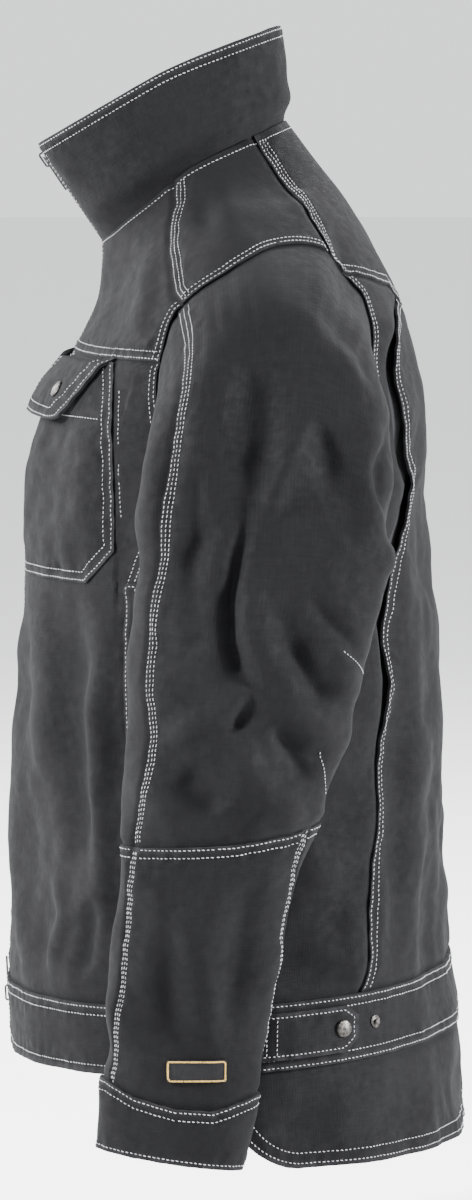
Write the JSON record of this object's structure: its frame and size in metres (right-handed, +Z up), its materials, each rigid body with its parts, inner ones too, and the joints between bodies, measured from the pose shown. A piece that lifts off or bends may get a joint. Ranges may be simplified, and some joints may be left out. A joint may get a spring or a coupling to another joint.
{
  "type": "work jacket",
  "caption": "Dark woven canvas work jacket with stand collar, front zip, flap chest pockets, shaped sleeves and snapped waist adjusters.",
  "frame": {"origin": "hanger loop inside the back of the neck, at the centre line", "axes": "+Z up along the body, front faces -Y, +X towards the wearer's left sleeve"},
  "size_m": [0.6532, 0.3357, 0.806],
  "materials": {
    "canvas": "charcoal cotton canvas, matt, white topstitching",
    "lining_cloth": "plain dark twill lining",
    "tape": "black woven tape",
    "zip_metal": "dark nickel",
    "snap_metal": "brushed nickel",
    "label": "blank woven label with a coloured border"
  },
  "bodies": {
    "root": {"back_panel": "canvas", "back_tail": "canvas", "back_yoke": "canvas", "band_stud_front_left": "snap_metal", "band_stud_front_right": "snap_metal", "band_stud_rear_left": "snap_metal", "band_stud_rear_right": "snap_metal", "chest_pocket_left": "canvas", "chest_pocket_right": "canvas", "collar_facing": "lining_cloth", "collar_outer": "canvas", "front_panel_left": "canvas", "front_panel_right": "canvas", "front_yoke_left": "canvas", "front_yoke_right": "canvas", "hand_pocket_welt_left": "canvas", "hand_pocket_welt_right": "canvas", "hanger_loop": "tape", "lining_back": "lining_cloth", "lining_front_left": "lining_cloth", "lining_front_right": "lining_cloth", "pocket_snap_stud_left": "snap_metal", "pocket_snap_stud_right": "snap_metal", "shoulder_panel_left": "canvas", "shoulder_panel_right": "canvas", "side_panel_left": "canvas", "side_panel_right": "canvas", "waistband_back": "canvas", "waistband_front_left": "canvas", "waistband_front_right": "canvas", "zip_chain_left": "zip_metal", "zip_chain_right": "zip_metal", "zip_tape_left": "tape", "zip_tape_right": "tape"},
    "sleeve_left": {"cuff_left": "canvas", "forearm_outer_left": "canvas", "forearm_under_left": "canvas", "sleeve_upper_outer_left": "canvas", "sleeve_upper_under_left": "canvas", "sleeve_label": "label"},
    "sleeve_right": {"cuff_right": "canvas", "forearm_outer_right": "canvas", "forearm_under_right": "canvas", "sleeve_upper_outer_right": "canvas", "sleeve_upper_under_right": "canvas"},
    "flap_left": {"pocket_flap_left": "canvas", "flap_snap_cap_left": "snap_metal"},
    "tab_left": {"adjuster_tab_left": "canvas", "adjuster_snap_cap_left": "snap_metal"},
    "flap_right": {"pocket_flap_right": "canvas", "flap_snap_cap_right": "snap_metal"},
    "tab_right": {"adjuster_tab_right": "canvas", "adjuster_snap_cap_right": "snap_metal"},
    "slider_top": {"zip_slider_top": "zip_metal"},
    "pull_top": {"zip_pull_top": "zip_metal"},
    "slider_bottom": {"zip_slider_bottom": "zip_metal"},
    "pull_bottom": {"zip_pull_bottom": "zip_metal"}
  },
  "joints": [
    {"name": "sleeve_left_lift", "type": "hinge", "parent": "root", "child": "sleeve_left", "pos_m": [0.188, 0.014, -0.077], "axis": [0, -1, 0], "range_deg": [0, 12]},
    {"name": "pocket_flap_left_lift", "type": "hinge", "parent": "root", "child": "flap_left", "pos_m": [0.1085, -0.1335, -0.1515], "axis": [-0.9591, -0.2817, 0.0282], "range_deg": [-4, 100]},
    {"name": "adjuster_tab_left_swing", "type": "hinge", "parent": "root", "child": "tab_left", "pos_m": [0.231, -0.005, -0.638], "axis": [0, 0, -1], "range_deg": [0, 60]},
    {"name": "sleeve_right_lift", "type": "hinge", "parent": "root", "child": "sleeve_right", "pos_m": [-0.188, 0.014, -0.077], "axis": [0, 1, 0], "range_deg": [0, 12]},
    {"name": "pocket_flap_right_lift", "type": "hinge", "parent": "root", "child": "flap_right", "pos_m": [-0.1085, -0.1335, -0.1515], "axis": [-0.9591, 0.2817, -0.0282], "range_deg": [-4, 100]},
    {"name": "adjuster_tab_right_swing", "type": "hinge", "parent": "root", "child": "tab_right", "pos_m": [-0.231, -0.005, -0.638], "axis": [0, 0, 1], "range_deg": [0, 60]},
    {"name": "zip_slider_top_slide", "type": "slide", "parent": "root", "child": "slider_top", "axis": [0, 0.5626, -0.8268], "range_m": [0, 0.045]},
    {"name": "zip_pull_top_flip", "type": "hinge", "parent": "slider_top", "child": "pull_top", "pos_m": [0, -0.16318, -0.0194], "axis": [-1, 0, 0], "range_deg": [0, 150]},
    {"name": "zip_slider_bottom_slide", "type": "slide", "parent": "root", "child": "slider_bottom", "axis": [0, -0.0521, 0.9986], "range_m": [0, 0.23]},
    {"name": "zip_pull_bottom_flip", "type": "hinge", "parent": "slider_bottom", "child": "pull_bottom", "pos_m": [0, -0.19083, -0.63619], "axis": [1, 0, 0], "range_deg": [0, 150]}
  ]
}
